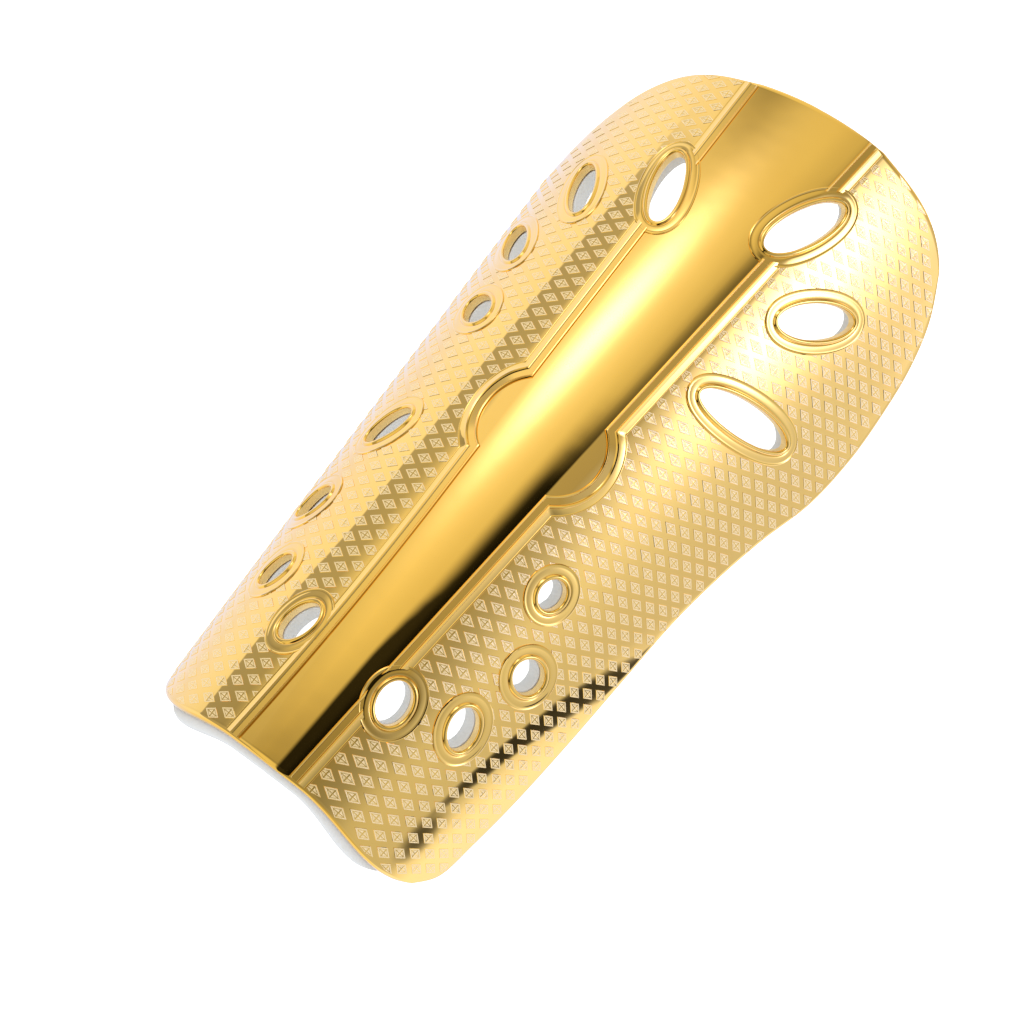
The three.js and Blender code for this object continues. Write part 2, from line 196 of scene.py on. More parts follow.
def sheet_places(rows, shares, rail_outs, band_shares, inset=0.0):
    """Side, out and y for every row and column of a sheet, from its left edge to its right edge. Between
    the rails y leans evenly from the row's left rail to its right one."""
    middle = rows[:, :2].mean(1, keepdims=True)
    tilt = (rows[:, 1:2] - rows[:, 0:1]) / 2
    rail_x = parabola(middle, STATIONS, RAIL_X)
    half = rail_x - RAIL_WIDTH * np.cos(RAIL_SLOPE)
    inner_out = np.hstack([-np.asarray(rail_outs) + 0 * half, -RAIL_WIDTH - half * band_shares])
    lean = tilt * np.maximum(0, 1 + inner_out / rail_x)
    left_out, left_y = flank_places(rows, LEFT, shares, inset)
    right_out, right_y = flank_places(rows, RIGHT, shares, inset)
    out = np.hstack([left_out[:, ::-1], inner_out, inner_out[:, -2::-1], right_out])
    y = np.hstack([left_y[:, ::-1], middle - lean, (middle + lean)[:, -2::-1], right_y])
    columns = left_out.shape[1] + inner_out.shape[1]
    side = np.where(np.arange(out.shape[1]) < columns, LEFT, RIGHT) + 0 * out.astype(int)
    return side, out, y


waist = [ROWS[WAIST_ROW, EDGE_COLUMNS[flank][0]] for flank in (LEFT, RIGHT)]
print("reach to the left and right at the waist, mm:", waist)

# %% [markdown]
# ## Tools for colours and materials
#
# The colours are written as they look on a screen and turned into the linear values that a renderer works
# in. A material is a small graph of nodes. It could be wired by hand in the editor, but a function that adds
# one node with its settings and links keeps each material short enough to read as a recipe.

# %% Helpers for colours and nodes
# A Mix node in colour mode has its two colours in these sockets, and its result in this one.
MIX_FIRST, MIX_SECOND, MIX_RESULT = 6, 7, 2


def linear(hex_colour):
    """An sRGB hex colour as linear red, green, blue and an alpha of 1."""
    values = np.array([int(hex_colour[k:k + 2], 16) for k in (1, 3, 5)]) / 255
    bright = ((values + 0.055) / 1.055) ** 2.4
    return (*np.where(values > 0.04045, bright, values / 12.92), 1.0)


def add_node(tree, kind, inputs, take=None, **settings):
    """Adds a node, sets its properties, and sets or links its inputs. It gives the output that one takes
    from the node, or the node itself."""
    made = tree.nodes.new(kind)
    for key, value in settings.items():
        setattr(made, key, value)
    for socket, value in inputs.items():
        if isinstance(value, bpy.types.NodeSocket):
            tree.links.new(value, made.inputs[socket])
        else:
            made.inputs[socket].default_value = value
    return made if take is None else made.outputs[take]


def new_tree(name):
    """A new material, its empty node tree, and the place on the piece that its patterns read."""
    material = bpy.data.materials.new(name)
    material.use_nodes = True
    tree = material.node_tree
    tree.nodes.clear()
    return material, tree, add_node(tree, "ShaderNodeTexCoord", {}, "Object")


def clouded(tree, place, length, colours, detail=2.0):
    """A noise of a real length in millimetres, and a colour that goes between two others with it."""
    first, second = (linear(colour) for colour in colours)
    noise = add_node(tree, "ShaderNodeTexNoise", {
        "Vector": place, "Scale": 1 / (length * MM), "Detail": detail}, "Fac")
    tint = add_node(tree, "ShaderNodeMix", {
        "Factor": noise, MIX_FIRST: first, MIX_SECOND: second}, MIX_RESULT, data_type="RGBA")
    return noise, tint


print("screen grey #808080 in linear light:", round(linear("#808080")[0], 3))

# %% [markdown]
# ## Tools for making pieces
#
# Every piece below is made the same way: whole arrays of points from a formula, faces by counting, and a
# mesh that stays at the origin and rides on the one CAD body. Blender's own extrude and bevel would do for
# plain forms, but only the formula sets a profile square to a curved sheet.

# %% Helpers for meshes
SHARP_ANGLE = 32.0


def outward(points, faces):
    """The faces, turned over if the volume that they enclose comes out negative."""
    volume = 0.0
    for corner in range(1, faces.shape[1] - 1):
        a, b, c = points[faces[:, 0]], points[faces[:, corner]], points[faces[:, corner + 1]]
        volume += np.einsum("ij,ij->", a, np.cross(b, c))
    return faces if volume > 0 else faces[:, ::-1]


def make_piece(name, points, faces, materials, which=0):
    """Makes a mesh piece from points in millimetres and a list of faces, riding on the guard. The last
    value says which of the materials each face has."""
    mesh = bpy.data.meshes.new(name)
    mesh.from_pydata((points + FRAME_SHIFT) * MM, [], faces)
    mesh.polygons.foreach_set("use_smooth", np.ones(len(mesh.polygons), bool))
    mesh.set_sharp_from_angle(angle=np.radians(SHARP_ANGLE))
    for material in materials:
        mesh.materials.append(material)
    mesh.polygons.foreach_set("material_index", np.zeros(len(mesh.polygons), np.int32) + which)
    piece = bpy.data.objects.new(name, mesh)
    bpy.context.scene.collection.objects.link(piece)
    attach(piece, "root")
    print(name, "has", len(mesh.vertices), "points and", len(mesh.polygons), "faces")
    return piece


def kept_cells(in_vent):
    """The cells of a grid that stay: those with a corner outside the vents."""
    return ~(in_vent[:-1, :-1] & in_vent[:-1, 1:] & in_vent[1:, 1:] & in_vent[1:, :-1])


def sheet_mesh(top, bottom, kept):
    """A closed sheet between two grids of points: the kept cells of both, and a wall under each edge that
    only one kept cell has."""
    rows, columns = top.shape[:2]
    count = rows * columns
    index = np.arange(count).reshape(rows, columns)
    corners = np.stack([index[:-1, :-1], index[:-1, 1:], index[1:, 1:], index[1:, :-1]], -1)[kept]
    start = corners.ravel()
    end = np.roll(corners, -1, axis=1).ravel()
    lone = ~np.isin(start * count + end, end * count + start)
    walls = np.stack([end, start, start + count, end + count], -1)[lone]
    faces = np.vstack([corners, corners[:, ::-1] + count, walls])
    used, faces_in_use = np.unique(faces, return_inverse=True)
    points = np.vstack([top.reshape(-1, 3), bottom.reshape(-1, 3)])[used]
    return points, outward(points, faces_in_use.reshape(faces.shape))


def swept_faces(steps, count, closed):
    """Faces of a closed profile of so many points, carried along so many steps. A path that doesn't close
    on itself has open ends."""
    index = np.arange(steps * count).reshape(steps, count)
    ahead = np.roll(index, -1, axis=0)
    if not closed:
        index, ahead = index[:-1], ahead[:-1]
    return np.stack([index, np.roll(index, -1, 1), np.roll(ahead, -1, 1), ahead], -1).reshape(-1, 4)


print("edges stay sharp where faces meet at more than", SHARP_ANGLE, "degrees")

# %% [markdown]
# ## Plated gold
#
# The shell is moulded plastic with a mirror-bright metal film, laid on in a vacuum, tinted gold and
# lacquered. The eye takes it for solid gold: it is the reflections that show the form, so the roughness is
# low and the colour is all in the reflection.
# Plastic is never as flat as glass, so a very gentle waviness, a few millimetres long, makes the edges of
# the reflections swim a little. Where the mould is grained, the same film comes out pale and frosted.

# %% Polished gold
GOLD = "#FFCB49"
GOLD_DEEP = "#FAC241"
GOLD_ROUGHNESS = 0.03
LACQUER_ROUGHNESS = 0.04
CLOUD_LENGTH = 22.0
WAVE_LENGTH = 7.0
WAVE_HEIGHT = 0.02


def mirror_gold():
    """Polished gold film under clear lacquer: full metal, low roughness, a faint drift of colour, and a
    long shallow waviness."""
    material, tree, place = new_tree("vacuum_plated_gold")
    _, tint = clouded(tree, place, CLOUD_LENGTH, (GOLD, GOLD_DEEP))
    wave = add_node(tree, "ShaderNodeTexNoise", {
        "Vector": place, "Scale": 1 / (WAVE_LENGTH * MM), "Detail": 1.0}, "Fac")
    bump = add_node(tree, "ShaderNodeBump", {
        "Height": wave, "Strength": 1.0, "Distance": WAVE_HEIGHT * MM}, "Normal")
    shader = add_node(tree, "ShaderNodeBsdfPrincipled", {
        "Base Color": tint, "Metallic": 1.0, "Roughness": GOLD_ROUGHNESS,
        "Coat Weight": 1.0, "Coat Roughness": LACQUER_ROUGHNESS, "Normal": bump}, "BSDF")
    add_node(tree, "ShaderNodeOutputMaterial", {"Surface": shader})
    return material


gold = mirror_gold()
print("gold in linear light:", np.round(linear(GOLD)[:3], 3))

# %% Frosted gold
PALE_GOLD = "#FFE39E"
PALE_GOLD_SHADE = "#FFDB90"
PALE_ROUGHNESS = 0.38
# The frosted film scatters about half its light as a matt surface does.
PALE_METAL = 0.45
# The real grain is finer. It is drawn as coarse as it needs to be to show.
GRAIN_LENGTH = 0.35
GRAIN_HEIGHT = 0.02
GRAIN_STRENGTH = 0.5


def satin_gold():
    """The same film over a finely grained mould, on the lozenges and on the walls of the vents: half metal,
    pale and frosted."""
    material, tree, place = new_tree("satin_plated_gold")
    grain, tint = clouded(tree, place, GRAIN_LENGTH, (PALE_GOLD_SHADE, PALE_GOLD))
    bump = add_node(tree, "ShaderNodeBump", {
        "Height": grain, "Strength": GRAIN_STRENGTH, "Distance": GRAIN_HEIGHT * MM}, "Normal")
    shader = add_node(tree, "ShaderNodeBsdfPrincipled", {
        "Base Color": tint, "Metallic": PALE_METAL, "Roughness": PALE_ROUGHNESS, "Normal": bump}, "BSDF")
    add_node(tree, "ShaderNodeOutputMaterial", {"Surface": shader})
    return material


pale_gold = satin_gold()
print("frosted gold in linear light:", np.round(linear(PALE_GOLD)[:3], 3))

# %% [markdown]
# ## The sheet of the shell
#
# The shell is about a millimetre and a half thick. Its front rolls over to a thin lip all the way round,
# as a moulding does that has to lie against a stocking. A Solidify modifier could give the thickness, but two
# grids, one above the other, also give the roll. The vents are left out of the grid here, a little larger
# than they are, because each one gets its own raised rim that covers the cut.

# %% The vents and the sheet's grid
# Columns: side, out, y, half the long axis, half the short axis, and how far it leans from +Y outward.
HOLES = np.array([
    [RIGHT, -1.8, 64.8, 10.5, 3.8, 19],
    [RIGHT, 15.2, 53.0, 10.4, 4.0, 45],
    [RIGHT, 18.6, 26.2, 13.6, 3.8, 72],
    [RIGHT, 11.5, -30.1, 3.4, 3.1, 0],
    [RIGHT, 20.7, -45.0, 4.3, 3.6, 90],
    [RIGHT, 17.0, -61.7, 4.6, 3.6, -36],
    [RIGHT, 1.7, -67.2, 4.6, 3.5, -16],
    [LEFT, -1.1, 54.4, 9.5, 3.7, 22],
    [LEFT, 20.4, 48.4, 8.3, 3.4, 35],
    [LEFT, 29.5, 31.3, 7.4, 3.5, 51],
    [LEFT, 23.4, 11.9, 5.1, 3.6, 68],
    [LEFT, 22.5, -21.0, 6.4, 3.4, -44],
    [LEFT, 28.9, -42.8, 5.6, 3.4, -52],
    [LEFT, 22.3, -59.7, 4.7, 3.1, -37],
    [LEFT, 5.3, -66.1, 5.0, 3.3, -25],
])


def along_axes(hole, out, y):
    """A place as seen from a vent's middle: how far it lies along the long axis, and along the short one."""
    hole_out, hole_y, lean = hole[1], hole[2], np.radians(hole[5])
    p = (out - hole_out) * np.sin(lean) + (y - hole_y) * np.cos(lean)
    q = (out - hole_out) * np.cos(lean) - (y - hole_y) * np.sin(lean)
    return p, q


def inside_holes(side, out, y, grow):
    """True where a place is in a vent whose half axes have grown by so much."""
    inside = np.zeros(np.shape(out), bool)
    for hole in HOLES:
        hole_side, _, _, long, short, _ = hole
        p, q = along_axes(hole, out, y)
        inside |= (side == hole_side) & ((p / (long + grow)) ** 2 + (q / (short + grow)) ** 2 < 1)
    return inside


def roll_drop(distance, radius):
    """How far a quarter round of that radius has dropped, at a distance in from the edge."""
    near = np.clip(1 - distance / radius, 0, 1)
    return radius * (1 - np.sqrt(1 - near**2))


def edge_distance(points):
    """Distance in millimetres from each point of a grid to the grid's nearest edge, along its own lines."""
    across = np.linalg.norm(np.diff(points, axis=1), axis=-1)
    along = np.linalg.norm(np.diff(points, axis=0), axis=-1)
    from_left = np.pad(np.cumsum(across, 1), ((0, 0), (1, 0)))
    from_ankle = np.pad(np.cumsum(along, 0), ((1, 0), (0, 0)))
    sides = np.minimum(from_left, from_left[:, -1:] - from_left)
    ends = np.minimum(from_ankle, from_ankle[-1:] - from_ankle)
    return np.minimum(sides, ends)


print(len(HOLES), "vents, the longest", 2 * HOLES[:, 3].max(), "mm long")

# %% The shell's sheet
SHELL_THICKNESS = 1.6
EDGE_ROLL = 1.1
RIM_COVER = 2.2
SHELL_ROWS = 170
SHELL_END = 0.016
FLANK_COLUMNS = 42
FLANK_EVEN = 0.97
FLANK_END = 0.027
# Close to an edge the lines of a grid stand at these shares of a short stretch.
CLOSE_STEPS = np.array([0.0, 0.1, 0.25, 0.5, 0.75])
RAIL_OUTS = (0.0, 0.8, 1.6, 2.3, 2.8, 3.2, 3.6)
BAND_SHARES = np.concatenate([np.linspace(0.0, 0.2, 6), np.linspace(0.28, 1.0, 10)])


def fine_ends(count, stretch):
    """Numbers from 0 to 1, evenly spread but for the close steps at each end, within that stretch."""
    close = stretch * CLOSE_STEPS
    return np.concatenate([close, np.linspace(stretch, 1 - stretch, count), 1 - close[::-1]])


def fine_edge(count, steps):
    """Numbers up to 1, evenly spread after the first at 0, which is left out, and then so far from 1."""
    return np.concatenate([np.linspace(0, FLANK_EVEN, count)[1:], 1 - steps])


shell_rows = rows_at(LAST_ROW * fine_ends(SHELL_ROWS, SHELL_END))
flank_shares = fine_edge(FLANK_COLUMNS, FLANK_END * CLOSE_STEPS[::-1])
side, out, y = sheet_places(shell_rows, flank_shares, RAIL_OUTS, BAND_SHARES)
top = raised(side, out, y, -roll_drop(edge_distance(front(side, out, y)), EDGE_ROLL))
bottom = raised(side, out, y, np.full(out.shape, -SHELL_THICKNESS))
points, faces = sheet_mesh(top, bottom, kept_cells(inside_holes(side, out, y, RIM_COVER)))
shell_sheet = make_piece("shell_sheet", points, faces.tolist(), [gold])
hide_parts("shell")

# %% [markdown]
# ## Rims round the vents
#
# Each vent has a raised oval collar: a fine line outside, a broad flat ring, a groove, a rounded lip, and
# then the wall of the hole itself, which is frosted. In a mould such a collar is a turned insert, so one
# profile carried round the oval gives them all. A curve with a bevel would stand the profile square to the
# curve alone. Here each point goes out along the sheet and up from it, so the collar follows the flank.

# %% The vents' rims
RIM_STEPS = 72
# Columns: distance out from the hole's edge, and height above the sheet.
RIM_PROFILE = np.array([
    [3.30, -0.60], [3.30, 0.06], [3.22, 0.20], [3.06, 0.27], [2.90, 0.22], [2.80, 0.18], [2.45, 0.21],
    [2.00, 0.23], [1.60, 0.23], [1.25, 0.21], [1.15, 0.17], [1.06, 0.12], [0.96, 0.22], [0.86, 0.38],
    [0.70, 0.48], [0.46, 0.50], [0.24, 0.44], [0.08, 0.28], [0.00, 0.02], [0.00, -1.50], [0.10, -1.62],
    [2.60, -1.62],
])
# The wall of the hole lies between these two points of the profile.
WALL_TOP, WALL_FOOT = 18, 20


def rim(hole):
    """Points of one collar: the profile set out square to the oval, at each step round it."""
    hole_side, hole_out, hole_y, long, short, lean = hole
    turn = np.linspace(0, 2 * np.pi, RIM_STEPS, endpoint=False)[:, None]
    sine, cosine = np.sin(np.radians(lean)), np.cos(np.radians(lean))
    away = np.hstack([np.cos(turn) / long, np.sin(turn) / short])
    away /= np.linalg.norm(away, axis=1, keepdims=True)
    p = long * np.cos(turn) + RIM_PROFILE[:, 0] * away[:, :1]
    q = short * np.sin(turn) + RIM_PROFILE[:, 0] * away[:, 1:]
    rim_out = hole_out + p * sine + q * cosine
    rim_y = hole_y + p * cosine - q * sine
    return raised(np.full(p.shape, int(hole_side)), rim_out, rim_y, RIM_PROFILE[:, 1] + 0 * p)


rim_points = [rim(hole).reshape(-1, 3) for hole in HOLES]
ring = swept_faces(RIM_STEPS, len(RIM_PROFILE), True)
rim_faces = [outward(each, ring) + k * len(each) for k, each in enumerate(rim_points)]
profile_line = np.arange(len(HOLES) * len(ring)) % len(RIM_PROFILE)
in_wall = (profile_line >= WALL_TOP) & (profile_line < WALL_FOOT)
make_piece(
    "shell_rims", np.vstack(rim_points), np.vstack(rim_faces).tolist(),
    [gold, pale_gold], in_wall)

# %% [markdown]
# ## The rails
#
# A rail is moulded like a picture frame. From the flank inwards it has a fine ridge, a broad slope up to a
# rounded bead, a level tread, and a ridge beside the band. Halfway down it steps out round a medallion and
# back, with its corners mitred. One could sweep it as a curve and trim the corners by hand. Laying the
# profile along straight lines and along arcs that share a centre, and letting each line of the profile meet
# its own arc, gives the mitre by itself. In the same way each line stops under the rims of the vents that
# lie on the rail. The ends of a run dip below the sheet, so no cut shows.

# %% The rail's lines
# Columns: distance in from the rail's outer line, and height above the sheet.
RAIL_PROFILE = np.array([
    [-0.02, -0.60], [-0.02, 0.07], [0.05, 0.16], [0.16, 0.19], [0.27, 0.16], [0.36, 0.09], [1.40, 0.31],
    [1.52, 0.37], [1.62, 0.54], [1.85, 0.64], [2.08, 0.54], [2.18, 0.36], [2.30, 0.25], [3.52, 0.25],
    [3.64, 0.38], [3.82, 0.46], [4.00, 0.40], [4.08, 0.15], [4.08, -0.60],
])
UNDER_VENT_RIM = 2.4
# The left rail drifts out towards the ankle, by this much times the square of the distance past its start.
RAIL_DRIFT = {LEFT: 0.00092, RIGHT: 0.0}
DRIFT_FROM = -29.0
MEDALLION_Y = -7.4
MEDALLION_OUT = -9.6
MEDALLION_RADIUS = 15.0
# The medallion's frame is this many times as broad as the rail.
MEDALLION_NARROWING = 1.075
RAIL_STEP = 1.5
ARC_STEPS = 40


def drift(side, y):
    """How far out a rail has drifted from its line, growing with the square of the distance."""
    return RAIL_DRIFT[side] * np.maximum(0, DRIFT_FROM - y) ** 2


def meet_vent(hole, way):
    """The y at which each line of the profile meets a vent's rim, from below or from above. It solves the
    oval's equation for y. A line that passes by the rim gets the y of the oval's middle."""
    hole_side, hole_out, hole_y, long, short, lean = hole
    sine, cosine = np.sin(np.radians(lean)), np.cos(np.radians(lean))
    p_scale, q_scale = 1 / (long + UNDER_VENT_RIM) ** 2, 1 / (short + UNDER_VENT_RIM) ** 2
    off = drift(hole_side, hole_y) - RAIL_PROFILE[:, 0] - hole_out
    square = cosine**2 * p_scale + sine**2 * q_scale
    cross = off * sine * cosine * (p_scale - q_scale)
    rest = off**2 * (sine**2 * p_scale + cosine**2 * q_scale) - 1
    root = np.sqrt(np.maximum(cross**2 - square * rest, 0))
    return hole_y + (way * root - cross) / square


def rail_places(start, end):
    """Out and y of every profile line of one run between two rows of y. A run that passes the medallion
    goes straight to its corner, round the arc, and straight on."""
    inward = RAIL_PROFILE[:, 0]
    straight = np.linspace(0, 1, int((end - start).max() / RAIL_STEP) + 1)[:, None]
    if not (start < MEDALLION_Y).all() or not (end > MEDALLION_Y).all():
        y = start + straight * (end - start)
        return -inward + 0 * y, y
    radius = MEDALLION_RADIUS - MEDALLION_NARROWING * inward
    corner = np.arccos((-MEDALLION_OUT - inward) / radius)
    turn = np.linspace(-1, 1, ARC_STEPS + 1)[:, None] * corner
    arc_out = MEDALLION_OUT + radius * np.cos(turn)
    arc_y = MEDALLION_Y + radius * np.sin(turn)
    low_y = start + straight[:-1] * (arc_y[0] - start)
    high_y = arc_y[-1] + straight[1:] * (end - arc_y[-1])
    out = np.vstack([-inward + 0 * low_y, arc_out, -inward + 0 * high_y])
    return out, np.vstack([low_y, arc_y, high_y])


print("the left rail has drifted", round(drift(LEFT, STATIONS[0]), 1), "mm at the ankle")

# %% The rails and the medallion's frame
# For each side: the ankle end, the lower and upper vents that lie on the rail, and the knee end.
RAIL_STOPS = {RIGHT: (-90.5, 6, 0, 89.6), LEFT: (-91.1, 14, 7, 85.9)}
# How far the middle of a run's end lies below its corners.
END_DIP = 0.3


def rail_run(side, start, end):
    """Points and faces of one run. Its first and last rows stand twice, once at the profile's heights and
    once buried under the sheet, and a face over each buried row closes the run."""
    out, y = (np.vstack([run[:1], run, run[-1:]]) for run in rail_places(start, end))
    out = out + drift(side, y)
    steps, count = out.shape
    heights = np.tile(RAIL_PROFILE[:, 1], (steps, 1))
    heights[[0, -1]] = RAIL_PROFILE[0, 1] - END_DIP * np.sin(np.linspace(0, np.pi, count))
    points = raised(np.full(out.shape, side), out, y, heights).reshape(-1, 3)
    quads = outward(points, swept_faces(steps, count, False))
    flipped = quads[0, 1] != 1
    near_end, far_end = np.arange(count), np.arange(count) + (steps - 1) * count
    caps = [near_end, far_end[::-1]] if flipped else [near_end[::-1], far_end]
    return points, quads.tolist() + [cap.tolist() for cap in caps]


rail_points = []
rail_faces = []
level = np.zeros(len(RAIL_PROFILE))
for rail_side, (ankle_end, low_vent, high_vent, knee_end) in RAIL_STOPS.items():
    low_stop, high_stop = HOLES[low_vent], HOLES[high_vent]
    runs = [
        (level + ankle_end, meet_vent(low_stop, -1)),
        (meet_vent(low_stop, 1), meet_vent(high_stop, -1)),
        (meet_vent(high_stop, 1), level + knee_end),
    ]
    for start, end in runs:
        points, faces = rail_run(rail_side, start, end)
        first = sum(len(earlier) for earlier in rail_points)
        rail_points.append(points)
        rail_faces += [[corner + first for corner in face] for face in faces]
make_piece("shell_rails", np.vstack(rail_points), rail_faces, [gold])

# %% [markdown]
# ## The lozenge pattern
#
# The flanks are covered with small raised lozenges, set in staggered rows, with the polished gold showing
# between them. Each has a frosted frame, and in it four small frosted tiles, parted by a polished cross and
# polished slopes. A bump could draw them, but only real facets catch the light on their edges as the moulding
# does. There are over a thousand, so each has only 33 points. They run under the rails and rims, which cut
# them off as the mould does, and at the shell's edge they are held back to its outline.

# %% One lozenge
# Half its width out from the rail, and half its width along the shin.
LOZENGE_HALF = (2.5, 1.33)
# Shares of the half width between two sides: the frame's two edges, the cross's ridge, and its slopes.
FRAME_OUTER = 0.92
FRAME_INNER = 0.68
CROSS = 0.04
GROOVE = 0.09
LOZENGE_HEIGHT = 0.09
TILE_HEIGHT = 0.07
LOZENGE_SUNK = -0.06
QUARTER_POINTS = 8
MIDDLE_POINT = 4 * QUARTER_POINTS
FROSTED, POLISHED = 0, 1


def diamond(first, second):
    """Out and y of places in a lozenge. The two numbers run from -1 to 1 between its pairs of sides."""
    return LOZENGE_HALF[0] * (first + second) / 2, LOZENGE_HALF[1] * (first - second) / 2


def turned_four(places):
    """Places of a square's first quarter, and again turned by one, two and three quarter turns."""
    first, second = np.array(places).T
    quarters = [(first, second), (-second, first), (-first, -second), (second, -first)]
    return np.stack([np.stack(quarter, -1) for quarter in quarters])


def one_lozenge():
    """Out, y and height of one lozenge's points. In each quarter come the corner of the frame, the cross's
    inner angle, the two ends of the frame's inner edge, the three corners of the tile, and the skirt's
    corner. The middle comes last."""
    far = FRAME_INNER - CROSS
    apex = CROSS + GROOVE
    base = FRAME_INNER - GROOVE
    quarters = turned_four([
        (FRAME_OUTER, FRAME_OUTER), (CROSS, 0), (FRAME_INNER, -far), (FRAME_INNER, far),
        (apex, 0), (base, apex - base), (base, base - apex), (1, 1)])
    first, second = np.vstack([quarters.reshape(-1, 2), [[0, 0]]]).T
    levels = np.repeat([LOZENGE_HEIGHT, TILE_HEIGHT, LOZENGE_SUNK], [4, 3, 1])
    return *diamond(first, second), np.append(np.tile(levels, 4), LOZENGE_HEIGHT)


def lozenge_faces():
    """Faces of one lozenge with their finish: the frosted frame, the frosted tiles, and the polished cross
    and slopes with the skirt and the underside."""
    numbers = np.arange(MIDDLE_POINT).reshape(4, QUARTER_POINTS)
    corner, angle, start, end, low_angle, low_start, low_end, skirt = numbers.T
    middle = np.full(4, MIDDLE_POINT)
    corner_before, skirt_before = np.roll(corner, 1), np.roll(skirt, 1)
    angle_after, start_after = np.roll(angle, -1), np.roll(start, -1)
    frame_sides = np.stack([corner_before, corner, end, start], -1)
    tiles = np.stack([low_angle, low_start, low_end], -1)
    polished = [
        np.stack([middle, angle, end, corner], -1),
        np.stack([middle, corner, start_after, angle_after], -1),
        np.stack([angle, start, low_start, low_angle], -1),
        np.stack([start, end, low_end, low_start], -1),
        np.stack([end, angle, low_angle, low_end], -1),
        np.stack([skirt_before, skirt, corner, corner_before], -1),
        skirt[None, ::-1]]
    return (FROSTED, frame_sides), (FROSTED, tiles), (POLISHED, np.vstack(polished))


print("a lozenge has", MIDDLE_POINT + 1, "points and is", 2 * LOZENGE_HALF[0], "mm long")

# %% The lozenges of both flanks
LOZENGE_PITCH = {LEFT: (7.35, 4.0), RIGHT: (7.2, 4.0)}
LOZENGE_START = {LEFT: (5.31, 3.55), RIGHT: (4.65, 0.2)}
# The lattice's numbers, out and along, which reach past every edge of a flank.
LATTICE_OUT = np.arange(-4, 16)
LATTICE_ALONG = np.arange(-60, 60)
OUTLINE_STEPS = 200
END_STEPS = 40
EDGE_MARGIN = 1.0
UNDER_RIM = 0.4
UNDER_RAIL = 3.7


def outline(side):
    """The flank's edge as out for a y, and its two ends as y for an out."""
    edge_rows = rows_at(np.linspace(0, LAST_ROW, OUTLINE_STEPS))
    edge_out, edge_y = flank_places(edge_rows, side, np.array([[1.0]]))
    end_out, end_y = flank_places(ROWS[[0, -1]], side, np.linspace(0, 1, END_STEPS)[None])
    return (edge_y[:, 0], edge_out[:, 0]), (end_out[0], end_y[0]), (end_out[1], end_y[1])


def rail_line(side, y):
    """Out of the rail's outer line, which steps round the medallion."""
    chord = np.sqrt(np.maximum(MEDALLION_RADIUS**2 - (y - MEDALLION_Y) ** 2, 0))
    return np.maximum(drift(side, y), MEDALLION_OUT + chord)


def lozenges(side):
    """Points of one flank's lozenges, as lozenge and point: every second place of the lattice that lies on
    the flank, plus the points of one lozenge."""
    pitch_out, pitch_y = LOZENGE_PITCH[side]
    across, along = np.meshgrid(LATTICE_OUT, LATTICE_ALONG)
    met = (across + along) % 2 == 0
    centre_out = (LOZENGE_START[side][0] + across[met] * pitch_out / 2)[:, None]
    centre_y = (LOZENGE_START[side][1] + along[met] * pitch_y / 2)[:, None]
    add_out, add_y, heights = one_lozenge()
    out, y = centre_out + add_out, centre_y + add_y
    edge, ankle, knee = outline(side)
    inside = centre_out < np.interp(centre_y, *edge) - EDGE_MARGIN
    inside &= centre_y > np.interp(centre_out, *ankle) + EDGE_MARGIN
    inside &= centre_y < np.interp(centre_out, *knee) - EDGE_MARGIN
    inside = inside[:, 0] & (out > rail_line(side, y) - UNDER_RAIL).all(1)
    inside &= ~inside_holes(side, out, y, UNDER_RIM).any(1)
    out, y = out[inside], y[inside]
    y = np.clip(y, np.interp(out, *ankle) + EDGE_MARGIN, np.interp(out, *knee) - EDGE_MARGIN)
    out = np.minimum(out, np.interp(y, *edge) - EDGE_MARGIN)
    return raised(np.full(out.shape, side), out, y, heights + 0 * out)


both_flanks = [lozenges(flank) for flank in (LEFT, RIGHT)]
count = both_flanks[0].shape[1]
starts = (0, both_flanks[0].shape[0] * count)
lozenge_corners = []
lozenge_finish = []
for finish, kind in lozenge_faces():
    for flank, grid, start in zip((LEFT, RIGHT), both_flanks, starts):
        # The left flank is a mirror image, so its faces run the other way round.
        moved = kind[:, ::flank] + start + np.arange(len(grid))[:, None, None] * count
        lozenge_corners += moved.reshape(-1, kind.shape[1]).tolist()
        lozenge_finish += [finish] * (len(grid) * len(kind))
make_piece(
    "shell_lozenges", np.vstack([grid.reshape(-1, 3) for grid in both_flanks]), lozenge_corners,
    [pale_gold, gold], np.array(lozenge_finish, np.int32))
print(sum(len(grid) for grid in both_flanks), "lozenges")

# %% [markdown]
# ## The foam lining
#
# Behind the shell lies a sheet of soft foam that spreads a knock and keeps the plastic off the shin. It
# shows as a pale line under the ankle's edge and as a crescent inside each vent. It is die-cut, so the vents
# go straight through it, wider behind the great ones at the knee, and its edges are softly rounded. It lies
# flat against the shell, so the shell's own grid, set deeper, shapes it better than a cloth simulation. The
# grid's points that fall in a vent are pushed out to its edge, which leaves a smooth cut.

# %% Foam
FOAM = "#F2F4F5"
FOAM_SHADE = "#E8EBEC"
FOAM_ROUGHNESS = 0.9
# Real cells and fibres are finer. These are drawn as coarse as they need to be to show.
CELL_LENGTH = 0.7
CELL_DEPTH = 0.08
CELL_STRENGTH = 0.4
FIBRE_LENGTH = 0.5
FIBRE_DETAIL = 4.0


